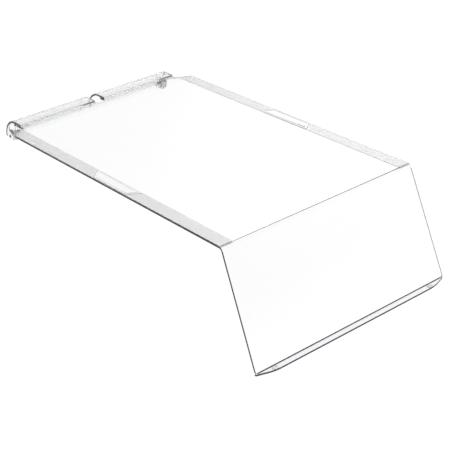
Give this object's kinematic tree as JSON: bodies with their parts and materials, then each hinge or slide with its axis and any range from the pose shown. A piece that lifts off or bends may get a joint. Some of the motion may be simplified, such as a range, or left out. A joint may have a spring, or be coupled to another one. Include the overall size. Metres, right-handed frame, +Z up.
{
  "type": "buffet sneeze guard",
  "caption": "Clear plastic sneeze guard: a bent canopy with grey side bands, blank label plates and a finger lip, which lifts on a clear tube under its curled rear edge.",
  "frame": {"origin": "middle of the hinge tube's axis, at the canopy's rear edge", "axes": "+X along the hinge axis to the guard's right as seen from the front, +Y to the rear, +Z up; the top panel is level and the front panel faces -Y"},
  "size_m": [0.3286, 0.5866, 0.1537],
  "materials": {
    "clear_sheet": "clear, polished",
    "textured_band": "clear with a fine texture",
    "clear_block": "clear, polished",
    "bush_nylon": "smooth natural nylon",
    "clear_silicone": "soft, clear, satin",
    "clear_tube": "clear, polished",
    "plated_metal": "bright plated"
  },
  "bodies": {
    "hinge_set": {"hinge_tube": "clear_tube", "end_plug_left": "plated_metal", "end_plug_right": "plated_metal", "thrust_washer_left": "bush_nylon", "thrust_washer_right": "bush_nylon"},
    "canopy": {"canopy_shell": "clear_sheet", "side_border_left": "textured_band", "side_border_right": "textured_band", "label_plate_left": "clear_block", "label_plate_right": "clear_block", "hinge_leaf_left": "textured_band", "hinge_leaf_right": "textured_band", "finger_lip": "clear_block", "lip_bumper_left": "clear_silicone", "lip_bumper_right": "clear_silicone", "end_ear_left": "clear_block", "end_ear_right": "clear_block", "ear_bush_left": "bush_nylon", "ear_bush_right": "bush_nylon"}
  },
  "joints": [
    {"name": "canopy_lift", "type": "hinge", "parent": "hinge_set", "child": "canopy", "pos_m": [0, 0, 0], "axis": [-1, 0, 0], "range_deg": [0, 100]}
  ]
}
